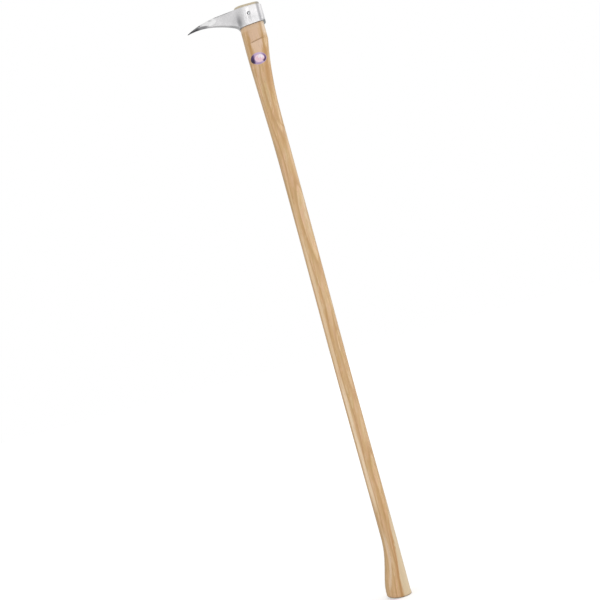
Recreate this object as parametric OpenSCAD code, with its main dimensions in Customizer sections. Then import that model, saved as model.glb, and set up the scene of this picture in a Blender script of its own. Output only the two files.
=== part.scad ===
// Pickaroon, a long-handled log hook: a forged steel head wedged and screwed to an ash handle.
// Millimetres. +Z runs up the handle, the beak points to -X, and the shaft's centre line is the Z axis.

/* [Handle] */
// Length of the handle, from the butt to the top of the tenon
handle_len = 1300; // [1100:10:1400]
// Width of the shaft, front to back
shaft_w = 32.8; // [29:0.2:36]
// Thickness of the shaft, side to side
shaft_t = 28; // [25:0.5:30]
// How far the shaft wanders off a straight line, as hand-shaved ash does
wander = 1.2; // [0:0.1:2]
// Length of the tenon, from the top of the wood to the shoulder at its back edge
tenon_len = 78; // [70:1:90]
// How far the shoulder stands out from the tenon's flat sides
shoulder_step = 1.2; // [0.8:0.1:2]
// How far the shoulder stands out from the tenon's front and back edges
shoulder_lip = 0.2; // [0.15:0.05:0.6]
// Slant of the shoulder line across the side, in degrees
shoulder_slant = 9; // [0:1:14]
// Length over which the back edge thins from the shoulder to the shaft
back_taper_len = 170; // [120:5:220]
// Length over which the front edge and the sides thin from the shoulder to the shaft
front_taper_len = 270; // [220:10:340]

/* [Butt] */
// Width of the swell at the butt, front to back
butt_w = 52; // [46:1:58]
// Thickness of the swell at the butt, side to side
butt_t = 35; // [32:0.5:38]
// Length of the swell at the butt
butt_len = 118; // [90:2:160]
// Height at which the swell reaches its full width
butt_straight = 6; // [2:1:12]
// How far the end of the butt curves up at the toe
toe_lift = 3.4; // [0:0.2:5]
// Length of that curve, along the end of the butt
toe_len = 20; // [12:1:26]
// Width of the broken edge round the end of the butt
butt_edge = 1.2; // [0.6:0.2:2]

/* [Eye] */
// Length of the eye, front to back
eye_len = 52.8; // [48:0.2:56]
// Width of the eye, side to side
eye_w = 33; // [30:0.5:36]
// Radius of the eye's two back corners
eye_back_r = 11.5; // [7:0.5:14]
// How far the middle of the eye lies behind the shaft's centre line
eye_setback = 5; // [3:0.2:6]

/* [Ring] */
// Thickness of the steel round the eye
wall = 4.6; // [4:0.2:6]
// Height of the ring at its back
ring_h = 35.8; // [32:0.2:40]
// Slope of the ring's lower rim, in degrees, lower towards the beak
rim_slope = 5.5; // [2:0.5:8]
// How far the lower rim dips further at the front, down the handle
rim_dip = 2; // [0:0.2:4]
// How far the tenon stands out above the ring
tenon_proud = 5.6; // [3:0.1:9]
// Rounding of the ring's and the beak's edges
edge_r = 1.4; // [1:0.1:2]

/* [Beak] */
// Length of the beak, from the front of the eye to its tip
beak_len = 111; // [95:1:125]
// How far the tip of the beak lies below the top of the ring
tip_drop = 20.6; // [16:0.2:26]
// Height of the beak where it springs from the ring
root_h = 36.8; // [33:0.2:39]
// Full width of the beak where it has left the ring
beak_w = 15.2; // [12:0.2:18]
// How late the back of the beak turns down, as the power of its curve
back_curve = 3; // [2.2:0.05:3.4]
// How strongly the underside rises as it leaves the ring
under_rise = 17.6; // [14:0.2:20]
// How strongly the underside hooks down again at the tip
under_hook = 9.7; // [8:0.1:13]
// Length of the fillet between the underside and the ring's lower rim, along the beak
fillet_len = 12; // [8:0.5:16]
// Length of the ground point
point_len = 65; // [45:1:80]
// Width and height of the blunt end of the tip
tip_size = 1.3; // [0.8:0.1:2]

/* [Wedges] */
// Thickness of the wooden wedge at its top
wood_wedge_t = 4; // [3:0.25:5.5]
// How deep the wooden wedge goes into the tenon
wood_wedge_deep = 36; // [33:0.5:39]
// Width of the saw kerf that the wooden wedge is driven into
kerf_w = 1.6; // [1.2:0.1:2.4]
// Depth of the saw kerf
kerf_deep = 42; // [40.5:0.5:46]
// Width of each steel wedge, side to side
steel_wedge_w = 22; // [17:0.5:25]
// Thickness of each steel wedge at its top
steel_wedge_t = 4; // [3:0.25:5]
// How deep each steel wedge goes into the tenon
steel_wedge_deep = 14; // [11:0.5:16]
// Distance from the middle of the eye to the middle of each steel wedge
steel_wedge_offset = 13; // [10:0.5:15]

/* [Screw] */
// Diameter of the screw's head
screw_head_d = 6.8; // [6:0.2:8]
// Height of the screw's domed head
screw_head_h = 1.3; // [1:0.1:1.6]
// Diameter of the screw's shank
screw_d = 3.8; // [3:0.2:4.6]
// Length of the screw under its head
screw_len = 16; // [12:0.5:18]
// Play round the screw's head and shank in the steel, on each side
screw_play = 0.4; // [0.2:0.1:0.8]
// Width of the slot in the screw's head
screw_slot_w = 1.1; // [0.8:0.1:1.4]
// Distance of the screw below the top of the ring
screw_drop = 15.6; // [13:0.1:17]

/* [Label] */
// Width of the oval label, across the handle
label_w = 34; // [26:0.5:36]
// Height of the oval label, along the handle
label_h = 24.5; // [18:0.5:30]
// Thickness of the label
label_t = 0.25; // [0.2:0.05:0.4]
// Distance of the label's middle below the top of the handle
label_drop = 118.5; // [110:0.5:150]
// How far the label's middle lies behind the shaft's centre line
label_setback = 0.4; // [-1:0.1:3]

/* [Hidden] */

// Colours as the photograph shows them
ASH = [0.82, 0.67, 0.47];
BEECH = [0.86, 0.72, 0.56];
SILVER = [0.83, 0.84, 0.85];
BLUED = [0.36, 0.37, 0.39];
ZINC = [0.66, 0.66, 0.66];
PAPER = [0.86, 0.80, 0.92];

// Points along each quarter of a section of the handle
QUARTER = 8;
// Half of the narrow flat that keeps two quarters of a section apart
FLAT = 0.4;
// Reach of a cutter past the surface it cuts
OVER = 5;
// Height of the shoulder's step, along the handle
STEP_H = 1.4;
// Thickness of the steel wedges at their thin end
STEEL_EDGE = 1;

// Eye and ring, front and back
eye_front = eye_setback - eye_len / 2;
eye_back = eye_setback + eye_len / 2;
ring_back = eye_back + wall;
ring_half_w = eye_w / 2 + wall;
ring_back_r = eye_back_r + wall;
ring_top = handle_len - tenon_proud;
// Where the round front of the eye and of the ring meets their straight sides
nose_x = eye_front + eye_w / 2;

// Shoulder and butt of the handle
shoulder_z = handle_len - tenon_len;
shoulder_half_t = eye_w / 2 + shoulder_step;
butt_front = shaft_w / 2 - butt_w;

// Value that eases from 1 at u = 0 to 0 at u = 1, level at both ends
function ease(u) = let (v = min(1, max(0, u))) 1 - v * v * (3 - 2 * v);

// Value that falls from 1 at u = 0 to 0 at u = 1, steepest at the start
function fall(u, power) = pow(1 - min(1, max(0, u)), power);

// Value between a, where share is 0, and b, where share is 1
function mix(a, b, share) = a + (b - a) * share;

// Point at u on the cubic curve through a and d, with the control points b and c
function cubic(a, b, c, d, u) =
    let (v = 1 - u)
    v * v * v * a + 3 * v * v * u * b + 3 * v * u * u * c + u * u * u * d;

// Closed skin of triangles over rings of points, each with the same even number of points
module skin(rings) {
    n = len(rings[0]);
    top = (len(rings) - 1) * n;
    sides = [
        for (i = [0:len(rings) - 2], j = [0:n - 1], half = [0, 1])
            let (
                a = i * n + j,
                b = i * n + (j + 1) % n
            )
            half == 0 ? [a, a + n, b] : [b, a + n, b + n]
    ];
    // Each end is closed by a ladder of triangles between the two halves of its ring
    ladder = [
        for (j = [0:n / 2 - 2], half = [0, 1])
            half == 0 ? [j, j + 1, n - 1 - j] : [j + 1, n - 2 - j, n - 1 - j]
    ];
    upper = [for (t = ladder) [top + t[2], top + t[1], top + t[0]]];
    polyhedron([for (ring = rings) each ring], concat(sides, ladder, upper), convexity = 4);
}

// Oval section of the handle, from the back edge round, with the radii of its front and back quarters
function oval(front, back, half_t, front_r, back_r) = [
    for (q = [0:3], k = [0:QUARTER - 1])
        let (
            behind = q == 0 || q == 3,
            r = behind ? back_r : front_r,
            a = 90 * (q + k / (QUARTER - 1)),
            x = behind ? back - r[0] : front + r[0],
            y = (q < 2 ? 1 : -1) * (half_t - r[1])
        )
        [x + r[0] * cos(a), y + r[1] * sin(a)]
];

// The handle's section at a height z: its thin waist, the swell of the butt and the swell of the shoulder
function neck_share(z) = ease((shoulder_z - z) / front_taper_len);
function back_share(z) = fall((shoulder_z - z) / back_taper_len, 2.2);
function square_share(z) = fall((shoulder_z - z) / back_taper_len, 1.4);
function butt_share(z) = ease((z - butt_straight) / (butt_len - butt_straight));
function wander_x(z) = wander * cos(360 * (z - 130) / 800) * max(0, 1 - z / (shoulder_z - back_taper_len));
function front_x(z) =
    wander_x(z) - shaft_w / 2
    + (eye_front - shoulder_lip + shaft_w / 2) * neck_share(z)
    + (butt_front + shaft_w / 2) * butt_share(z);
function back_x(z) = wander_x(z) + mix(shaft_w / 2, eye_back + shoulder_lip, back_share(z));
function half_t(z) =
    shaft_t / 2
    + (shoulder_half_t - shaft_t / 2) * neck_share(z)
    + (butt_t - shaft_t) / 2 * butt_share(z);
function widest_x(z) = mix(mix(wander_x(z), (butt_front + shaft_w / 2) / 2, butt_share(z)), nose_x, neck_share(z));
function section(z, out) =
    let (
        front = front_x(z),
        back = back_x(z),
        mid = widest_x(z),
        t = half_t(z),
        square = square_share(z)
    )
    oval(
        front - out, back + out, t + out,
        [mid - front + out - FLAT, t + out - FLAT],
        [mix(back - mid, eye_back_r, square) + out - FLAT, mix(t, eye_back_r, square) + out - FLAT]
    );

// Heights of the handle's sections: close together at the butt and the shoulder, wide on the shaft
function handle_heights() = concat(
    [butt_edge, butt_straight + 2],
    [for (k = [1:12]) butt_straight + 2 + (butt_len - butt_straight - 2) * k / 12],
    [for (k = [1:8]) butt_len + (shoulder_z - front_taper_len - butt_len) * k / 8],
    [for (k = [1:6]) shoulder_z - front_taper_len + (front_taper_len - back_taper_len) * k / 6],
    [for (k = [1:17]) shoulder_z - back_taper_len * (1 - k / 17)]
);

// The shoulder line slants across the side, and the end of the butt curves up at the toe
function lift_at(z, x) =
    tan(shoulder_slant) * (x - eye_back) * ease((shoulder_z - z) / (back_taper_len / 2))
    + toe_lift * pow(max(0, (butt_front + toe_len - x) / toe_len), 2) * ease(z / (butt_len / 2));
function ring_at(z, points) = [for (p = points) [p[0], p[1], z + lift_at(z, p[0])]];

// Wooden body below the shoulder, as one skin, with a broken edge at the butt and a small step at the shoulder
module handle_body() {
    r = [nose_x - eye_front, eye_w / 2];
    skin(concat(
        [ring_at(0, section(0, -butt_edge))],
        [for (z = handle_heights()) ring_at(z, section(z, 0))],
        [ring_at(shoulder_z + STEP_H, oval(
            eye_front + OVER, eye_back - OVER, r[1] - OVER,
            [r[0] - OVER, r[1] - OVER - FLAT], [eye_back_r - OVER, eye_back_r - OVER]
        ))]
    ));
}

// Rounded outline of the eye and of the tenon that fills it
module eye_outline() {
    translate([nose_x, 0])
        circle(eye_w / 2, $fn = 96);
    for (side = [-1, 1])
        translate([eye_back - eye_back_r, side * (eye_w / 2 - eye_back_r)])
            circle(eye_back_r, $fn = 96);
    translate([nose_x, -eye_w / 2])
        square([eye_back - eye_back_r - nose_x, eye_w]);
    translate([nose_x, -eye_w / 2 + eye_back_r])
        square([eye_back - nose_x, eye_w - 2 * eye_back_r]);
}

// Tenon, cut off below along the slant of the shoulder
module tenon() {
    low = tenon_len + eye_len * tan(shoulder_slant) + OVER;
    difference() {
        translate([0, 0, handle_len - low])
            linear_extrude(height = low)
                eye_outline();
        translate([eye_back, 0, shoulder_z - STEP_H / 2])
            rotate([0, -shoulder_slant, 0])
                translate([-2 * eye_len, -eye_w, -3 * OVER])
                    cube([3 * eye_len, 2 * eye_w, 3 * OVER]);
    }
}

// Tapered prism that stands thin end down in the top of the tenon
module driven_prism(top_t, low_t, deep, reach) {
    translate([0, 0, handle_len - deep])
        rotate([90, 0, 0])
            linear_extrude(height = 2 * reach, center = true)
                polygon([
                    [-low_t / 2, 0], [low_t / 2, 0], [top_t / 2, deep], [-top_t / 2, deep]
                ]);
}

module wooden_wedge_space() {
    translate([eye_setback, 0, 0])
        rotate([0, 0, 90])
            driven_prism(wood_wedge_t, kerf_w, wood_wedge_deep, eye_len);
}

// Steel wedges, in front of (-1) and behind (1) the middle of the eye
module steel_wedge(side) {
    translate([eye_setback + side * steel_wedge_offset, 0, 0])
        driven_prism(steel_wedge_t, STEEL_EDGE, steel_wedge_deep, steel_wedge_w / 2);
}

// Shank and head of the screw, which runs along +Y from the side of the ring into the tenon
head_sink = screw_head_h + 0.2;
module at_screw() {
    translate([eye_setback, -ring_half_w, ring_top - screw_drop])
        rotate([-90, 0, 0])
            children();
}

module screw_shank() {
    at_screw() {
        translate([0, 0, head_sink])
            cylinder(h = screw_len - screw_d, d = screw_d, $fn = 48);
        translate([0, 0, head_sink + screw_len - screw_d])
            cylinder(h = screw_d, d1 = screw_d, d2 = 0.4, $fn = 48);
    }
}

module handle() {
    color(ASH)
        difference() {
            union() {
                handle_body();
                tenon();
            }
            wooden_wedge_space();
            translate([eye_setback, 0, handle_len - kerf_deep / 2 + OVER / 2])
                cube([eye_len + 2 * OVER, kerf_w, kerf_deep + OVER], center = true);
            for (side = [-1, 1])
                steel_wedge(side);
            screw_shank();
        }
}

// The wedge fills the kerf from front to back and follows the outline of the eye at its ends
module wooden_wedge() {
    color(BEECH)
        difference() {
            intersection() {
                wooden_wedge_space();
                translate([0, 0, handle_len - kerf_deep])
                    linear_extrude(height = kerf_deep + OVER)
                        eye_outline();
            }
            for (side = [-1, 1])
                steel_wedge(side);
        }
}

module steel_wedge_front() {
    color(BLUED)
        steel_wedge(-1);
}

module steel_wedge_back() {
    color(BLUED)
        steel_wedge(1);
}

// Share of the way from the front of the eye to the tip, at x
tip_x = eye_front - beak_len;
function along(x) = min(1, max(0, (eye_front - x) / beak_len));

// Half widths, seen from above: of the ring, of the beak, and of the neck that runs from one into the other
function ring_half(x) =
    let (corner = x - (ring_back - ring_back_r))
    corner > 0
        ? ring_half_w - ring_back_r + sqrt(max(0, ring_back_r * ring_back_r - corner * corner))
        : x > nose_x
            ? ring_half_w
            : sqrt(max(0, ring_half_w * ring_half_w - (nose_x - x) * (nose_x - x)));
function beak_half(x) = mix(beak_w, tip_size, pow(along(x), 1.8)) / 2;
function neck_half(x, start, end) =
    x >= start
        ? ring_half(x)
        : x <= end
            ? beak_half(x)
            : let (
                lead = (start - end) / 3,
                y0 = ring_half(start),
                y1 = beak_half(end)
            )
            cubic(y0, y0 - lead * (nose_x - start) / y0, y1 + lead * 0.05, y1, (start - x) / (start - end));

// Heights, seen from the side: of the head's upper edge and of its lower edge
function upper_z(x) = ring_top - tip_drop * pow(along(x), back_curve);
function rim_z(x) =
    ring_top - ring_h - tan(rim_slope) * (ring_back - x)
    - rim_dip * ease((x - eye_front) / ring_half_w);
function under_z(x) =
    let (end = tip_drop + tip_size)
    ring_top - cubic(root_h, root_h - under_rise, end - under_hook, end, along(x))
    - (ring_top - root_h - rim_z(eye_front)) * fall((eye_front - x) / fillet_len, 3);
function lower_z(x) = x > eye_front ? rim_z(x) : under_z(x);

// Softens each corner of a closed outline with a short curve of three points
function toward(a, b, reach) = a + (b - a) * min(0.4, reach / max(0.01, norm(b - a)));
function soften(points, r) = [
    for (i = [0:len(points) - 1])
        let (
            n = len(points),
            p = points[i],
            a = toward(p, points[(i + n - 1) % n], r),
            b = toward(p, points[(i + 1) % n], r)
        )
        each [a, (a + 2 * p + b) / 4, b]
];

// One section of the head at x. The beak's lower edges are bevelled, and the bevels grow into the ground point
function head_ring(x) =
    let (
        top = upper_z(x),
        low = lower_z(x),
        ground = min(1, max(0, (tip_x + point_len - x) / (point_len / 2))),
        bevel = x > nose_x ? 0 : 1 - ease((nose_x - x) / ring_half_w),
        upper_w = neck_half(x, nose_x - 0.25 * ring_half_w, eye_front - 40),
        lower_w = neck_half(x, nose_x - 0.6 * ring_half_w, eye_front - 12),
        edge_w = mix(mix(lower_w, lower_w * 0.6, bevel), lower_w * 0.35, ground),
        edge_z = mix(low, top, mix(0.08, 0.5, ground)),
        outline = soften([
            [upper_w * mix(1, 0.45, ground), top], [lower_w, edge_z], [edge_w, low],
            [-edge_w, low], [-lower_w, edge_z], [-upper_w * mix(1, 0.45, ground), top]
        ], edge_r)
    )
    [for (p = outline) [x, p[0], p[1]]];

// Places of the head's sections: close together round the corners and the neck, wider along the beak
function head_places() = concat(
    [for (k = [0:8]) ring_back - ring_back_r * (1 - cos(90 * k / 8))],
    [for (k = [1:4]) mix(ring_back - ring_back_r, nose_x, k / 4)],
    [for (k = [1:14]) mix(nose_x, eye_front - 1, k / 14)],
    [for (k = [1:10]) mix(eye_front - 1, eye_front - fillet_len, k / 10)],
    [for (k = [1:20]) mix(eye_front - fillet_len, tip_x, k / 20)]
);

module head() {
    color(SILVER)
        difference() {
            skin([for (x = head_places()) head_ring(x)]);
            translate([0, 0, ring_top - ring_h - eye_len])
                linear_extrude(height = ring_h + eye_len + OVER)
                    eye_outline();
            at_screw() {
                translate([0, 0, -OVER])
                    cylinder(h = OVER + head_sink, d = screw_head_d + 2 * screw_play, $fn = 48);
                cylinder(h = wall + OVER, d = screw_d + 2 * screw_play, $fn = 48);
            }
        }
}

// Domed screw with a slot across its head
module fixing_screw() {
    rim_h = screw_head_h * 0.3;
    dome_h = screw_head_h - rim_h;
    dome_r = (screw_head_d * screw_head_d / 4 + dome_h * dome_h) / (2 * dome_h);
    color(ZINC)
        union() {
            screw_shank();
            difference() {
                at_screw()
                    intersection() {
                        translate([0, 0, head_sink - screw_head_h])
                            cylinder(h = screw_head_h, d = screw_head_d, $fn = 48);
                        translate([0, 0, head_sink - screw_head_h + dome_r])
                            sphere(dome_r, $fn = 96);
                    }
                at_screw()
                    rotate([0, 0, 35])
                        translate([0, 0, head_sink - screw_head_h])
                            cube([screw_head_d + OVER, screw_slot_w, screw_head_h], center = true);
            }
        }
}

// Half of a section's points, on the side where the label sits, in either order
function near_side(points, backwards) =
    let (n = len(points))
    [for (j = [n / 2:n - 1]) points[backwards ? n / 2 + n - 1 - j : j]];

// Thin oval label that follows the side of the handle
module label() {
    z = handle_len - label_drop;
    heights = [for (h = handle_heights()) if (abs(h - z) < label_h * 1.6) h];
    color(PAPER)
        intersection() {
            skin([for (h = heights) ring_at(h, concat(
                near_side(section(h, label_t), false), near_side(section(h, 0), true)
            ))]);
            translate([label_setback, 0, z])
                rotate([90, 0, 0])
                    linear_extrude(height = shoulder_half_t * 2)
                        scale([label_w / label_h, 1])
                            circle(d = label_h, $fn = 96);
        }
}

head();
handle();
wooden_wedge();
steel_wedge_front();
steel_wedge_back();
fixing_screw();
label();
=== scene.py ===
# %% [markdown]
# A pickaroon is a log hook for two hands: a forged steel head on a long ash handle. The imported solids
# give every size and place here. They are made of flat facets, so this notebook builds the same forms
# again as fine meshes, and gives each one the finish of the real material.
# We start with the solids. Each is hidden when its piece replaces it, and the piece's box is held against
# its box.

import math

import bmesh
import bpy
from mathutils import Matrix, Vector


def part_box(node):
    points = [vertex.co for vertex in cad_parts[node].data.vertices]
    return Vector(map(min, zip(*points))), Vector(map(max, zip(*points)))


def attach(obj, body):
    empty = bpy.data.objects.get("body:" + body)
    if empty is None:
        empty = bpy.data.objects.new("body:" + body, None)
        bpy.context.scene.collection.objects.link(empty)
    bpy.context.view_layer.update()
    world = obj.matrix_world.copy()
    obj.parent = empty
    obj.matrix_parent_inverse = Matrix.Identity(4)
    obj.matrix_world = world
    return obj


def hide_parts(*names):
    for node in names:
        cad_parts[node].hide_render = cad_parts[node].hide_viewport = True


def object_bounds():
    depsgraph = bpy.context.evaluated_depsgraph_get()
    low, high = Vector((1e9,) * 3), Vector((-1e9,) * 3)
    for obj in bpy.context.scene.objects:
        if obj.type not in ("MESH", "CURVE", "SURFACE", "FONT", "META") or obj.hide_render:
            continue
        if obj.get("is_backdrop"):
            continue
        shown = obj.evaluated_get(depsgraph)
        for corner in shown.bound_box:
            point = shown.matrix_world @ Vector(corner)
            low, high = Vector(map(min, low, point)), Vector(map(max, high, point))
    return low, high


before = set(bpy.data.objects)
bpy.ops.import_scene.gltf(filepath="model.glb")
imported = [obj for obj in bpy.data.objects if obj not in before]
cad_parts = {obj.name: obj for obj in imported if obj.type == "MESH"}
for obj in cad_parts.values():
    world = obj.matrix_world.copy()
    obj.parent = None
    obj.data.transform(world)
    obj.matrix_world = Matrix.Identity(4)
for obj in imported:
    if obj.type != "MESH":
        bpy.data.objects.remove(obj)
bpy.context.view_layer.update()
print("solids:", ", ".join(sorted(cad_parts)))

# %% [markdown]
# Blender works in metres and a smith or a handle maker in millimetres. With one factor we can write every
# size as they would. Colours are given as a paint chart gives them, in sRGB, and the shaders want linear
# light, so one function turns one into the other.

# %% Millimetres and colours
MM = 0.001


def linear(chart):
    """Linear RGBA of an sRGB hex colour."""
    parts = [int(chart[i:i + 2], 16) / 255 for i in (1, 3, 5)]
    return [c / 12.92 if c <= 0.04045 else ((c + 0.055) / 1.055) ** 2.4 for c in parts] + [1.0]


print("mid grey is", [round(c, 3) for c in linear("#808080")])

# %% [markdown]
# A material is a small graph. One function adds a node to it, named without Blender's "ShaderNode". The
# keywords set the node's own options, and `links` fills its sockets, either with a value or with what
# another node gives. `stops` are the points of a colour ramp or of a curve. What comes back is the
# output that the next node will use.

# %% Add a node
def add(tree, kind, links=None, stops=(), out=0, **options):
    """Adds a node with its options set, its sockets filled and its stops placed. Returns one output."""
    node = tree.nodes.new("ShaderNode" + kind)
    for name, value in options.items():
        setattr(node, name, value)
    for name, value in (links or {}).items():
        if isinstance(value, bpy.types.NodeSocket):
            tree.links.new(value, node.inputs[name])
        else:
            node.inputs[name].default_value = value
    ends_first = [*stops[:1], *stops[-1:], *stops[1:-1]]
    for i, (position, value) in enumerate(ends_first):
        if kind == "FloatCurve":
            points = node.mapping.curves[0].points
            point = points[i] if i < 2 else points.new(position, value)
            point.location = (position, value)
        else:
            ramp = node.color_ramp.elements
            stop = ramp[i] if i < 2 else ramp.new(position)
            stop.position = position
            stop.color = linear(value)
    if kind == "FloatCurve":
        node.mapping.update()
    return node.outputs[out] if node.outputs else node


def new_material(name):
    """An empty material, its tree, and the place of each point in the frame."""
    material = bpy.data.materials.new(name)
    material.use_nodes = True
    tree = material.node_tree
    tree.nodes.clear()
    return material, tree, add(tree, "TexCoord", out="Object")


# %% [markdown]
# Every piece is a mesh made from points that we work out. `mesh_object` turns points and faces into an
# object. `piece` shades it smoothly, and keeps the edges sharp where two faces meet at more than a given
# angle. Then it hangs the piece on the empty of the body it rides on, hides the solid it stands for, and
# prints how far the piece's box lies from that solid's. The tool is rigid, so all of it rides on the one
# body.

# %% Make a piece
def shade(mesh, sharp):
    """Smooth faces, with sharp edges where faces meet at more than this many degrees."""
    work = bmesh.new()
    work.from_mesh(mesh)
    bmesh.ops.recalc_face_normals(work, faces=work.faces)
    for face in work.faces:
        face.smooth = True
    for edge in work.edges:
        edge.smooth = len(edge.link_faces) == 2 and edge.calc_face_angle(0) < math.radians(sharp)
    work.to_mesh(mesh)
    work.free()


def mesh_object(name, points, faces):
    """A linked object with this mesh. Points in the same place are joined, and all faces look outwards."""
    mesh = bpy.data.meshes.new(name)
    mesh.from_pydata([tuple(p) for p in points], [], faces)
    work = bmesh.new()
    work.from_mesh(mesh)
    bmesh.ops.remove_doubles(work, verts=work.verts, dist=1e-7)
    bmesh.ops.recalc_face_normals(work, faces=work.faces)
    work.to_mesh(mesh)
    work.free()
    made = bpy.data.objects.new(name, mesh)
    bpy.context.scene.collection.objects.link(made)
    return made


def piece(made, material, node, sharp=35):
    """Finishes a piece: smooth shading, a material, its body, and the solid it stands for."""
    shade(made.data, sharp)
    made.data.materials.clear()
    made.data.materials.append(material)
    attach(made, "root")
    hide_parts(node)
    low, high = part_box(node)
    mine = [made.matrix_world @ v.co for v in made.data.vertices]
    off = max(
        max(abs(min(p[i] for p in mine) - low[i]), abs(max(p[i] for p in mine) - high[i])) for i in range(3)
    )
    print(f"{made.name}: {len(made.data.polygons)} faces, box within {1000 * off:.2f} mm of the solid's")


# %% [markdown]
# Most shapes here are lofts: outlines stacked along an axis and joined by quads. The ends are closed by
# shrinking the last outline towards its middle, which keeps the end's own curve.

# %% Loft outlines into a skin
def loft(rings):
    """Points and faces of a closed skin over rings of equally many points. Each end is one face."""
    n = len(rings[0])
    points = [p for ring in rings for p in ring]
    faces = [
        (i * n + j, i * n + (j + 1) % n, (i + 1) * n + (j + 1) % n, (i + 1) * n + j)
        for i in range(len(rings) - 1)
        for j in range(n)
    ]
    last = (len(rings) - 1) * n
    return points, faces + [tuple(range(n))[::-1], tuple(range(last, last + n))]


# %% [markdown]
# The camera stands where the photographer's did. The tool is 1.3 m long and fills the picture, its head
# shows a little of its underside, and the end of the butt shows from above, so the camera was about
# 1.9 m away, level with the middle of the tool. The picture was turned afterwards to fit the long tool
# in, which is the same as rolling the camera by 15 degrees.

# %% Camera
PHOTO_PX = 600
PX_MM = 2.135
DISTANCE = 1940 * MM
ROLL = math.radians(15.18)
VIEW_X, VIEW_Z = -49 * MM, 665 * MM

eye = bpy.data.cameras.new("photographer")
eye.sensor_width = 36
eye.lens = eye.sensor_width * DISTANCE / (PHOTO_PX * PX_MM * MM)
camera = bpy.data.objects.new("photographer", eye)
camera.location = (VIEW_X, -DISTANCE, VIEW_Z)
camera.rotation_euler = (math.radians(90), ROLL, 0)
bpy.context.scene.collection.objects.link(camera)
bpy.context.scene.camera = camera
print(f"lens {eye.lens:.1f} mm, one pixel is {PX_MM} mm at the tool")

# %% [markdown]
# The studio is a white room. The world is white to the camera and in reflections, and a softer grey as a
# light, so colours keep their value. A wide soft lamp beside the camera makes the flat cheek of the head
# bright, and a painted highlight on the cheek adds to it. A tall strip on each side lights the flanks of
# the shaft; the two pale lines along the shaft, as on the real one, are also painted highlights in the
# wood.

# %% Studio
def seen_directly(tree):
    """1 for rays from the camera, in a mirror or through glass, and 0 for the light on a dull surface."""
    kinds = ("Camera", "Glossy", "Transmission")
    straight, mirrored, through = (add(tree, "LightPath", out=f"Is {kind} Ray") for kind in kinds)
    either = add(tree, "Math", {0: straight, 1: mirrored}, operation="MAXIMUM")
    return add(tree, "Math", {0: either, 1: through}, operation="MAXIMUM")


ROOM_LIGHT = 0.72

world = bpy.data.worlds.new("white_room")
bpy.context.scene.world = world
world.use_nodes = True
room = world.node_tree
room.nodes.clear()
strength = add(room, "MapRange", {"Value": seen_directly(room), "To Min": ROOM_LIGHT})
white = add(room, "Background", {"Color": (1, 1, 1, 1), "Strength": strength})
add(room, "OutputWorld", {"Surface": white})


def lamp(name, place, target, size, power):
    """A soft lamp, wide and tall as size says, that the camera doesn't see."""
    light = bpy.data.lights.new(name, "AREA")
    light.shape = "RECTANGLE"
    light.size, light.size_y = size
    light.energy = power
    made = bpy.data.objects.new(name, light)
    made.location = place
    made.rotation_euler = (Vector(target) - Vector(place)).to_track_quat("-Z", "Y").to_euler()
    made.visible_camera = False
    bpy.context.scene.collection.objects.link(made)
    print(f"{name}: {size[0]} by {size[1]} m at {tuple(round(c, 2) for c in place)}")


MIDDLE = (0, 0, 0.7)
lamp("front_lamp", (0.55, -2.3, 1.15), MIDDLE, (1.0, 2.0), 10)
lamp("right_strip", (1.7, -0.25, 0.75), MIDDLE, (0.7, 2.0), 9)
lamp("left_strip", (-1.7, -0.35, 0.75), MIDDLE, (0.5, 2.0), 5)

# %% [markdown]
# The floor is a plain white sheet. It is lit like any surface, so the tool's shadow falls on it, and it
# glows a little towards the camera, which lifts the rest of it to white. The lamps light it less far
# from the tool, so there it has to glow more.

# %% Floor
FLOOR_HALF = 8.0
NEAR, FAR = 0.4, 2.2
NEAR_GLOW, FAR_GLOW = 0.36, 0.56

white_sheet, tree, place = new_material("paper_sheet_matt")
matt = add(tree, "BsdfDiffuse", {"Color": linear("#E8E8E8")})
distance = add(tree, "VectorMath", {0: place}, out="Value", operation="LENGTH")
links = {"Value": distance, "From Min": NEAR, "From Max": FAR, "To Min": NEAR_GLOW, "To Max": FAR_GLOW}
glow = add(tree, "MapRange", links)
glow = add(tree, "Math", {0: seen_directly(tree), 1: glow}, operation="MULTIPLY")
shine = add(tree, "Emission", {"Color": (1, 1, 1, 1), "Strength": glow})
sheet = add(tree, "AddShader", {0: matt, 1: shine})
add(tree, "OutputMaterial", {"Surface": sheet})

corners = [(-1, -1), (1, -1), (1, 1), (-1, 1)]
floor = mesh_object("floor", [(FLOOR_HALF * a, FLOOR_HALF * b, 0) for a, b in corners], [(0, 1, 2, 3)])
floor.data.materials.append(white_sheet)
floor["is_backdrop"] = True
print(f"floor {2 * FLOOR_HALF:.0f} m square")

# %% [markdown]
# The handle is shaved from one ash blank. Its section is an oval made of four quarter ellipses. It swells
# at the butt, towards the front, so that it can't slip out of the hand, and it swells and squares up
# below the head. No blank is quite straight, so it wanders a little from side to side. The toe of the
# butt curves up. We take each outline from a few functions of the height, and stack them.

# %% Sizes of the handle
handle_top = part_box("handle")[1].z
shaft_w, shaft_t = 32.8 * MM, 28 * MM
wander, wander_from, wander_wave = 1.2 * MM, 130 * MM, 800 * MM
butt_w, butt_t, butt_len, butt_straight, butt_curve = 52 * MM, 35 * MM, 134 * MM, 8 * MM, 1.3
toe_lift, toe_len, butt_edge, heel, heel_h = 5.5 * MM, 45 * MM, 2.2 * MM, 1 * MM, 12 * MM
eye_len, eye_w, eye_back_r, eye_setback = 52.8 * MM, 33 * MM, 11.5 * MM, 5 * MM
shoulder_z = handle_top - 78 * MM
shoulder_step, shoulder_lip, shoulder_slant = 1.2 * MM, 0.2 * MM, math.radians(9)
back_taper, front_taper, taper_curve, square_curve = 170 * MM, 270 * MM, 2.2, 1.4
side_flat = 0.4 * MM

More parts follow.
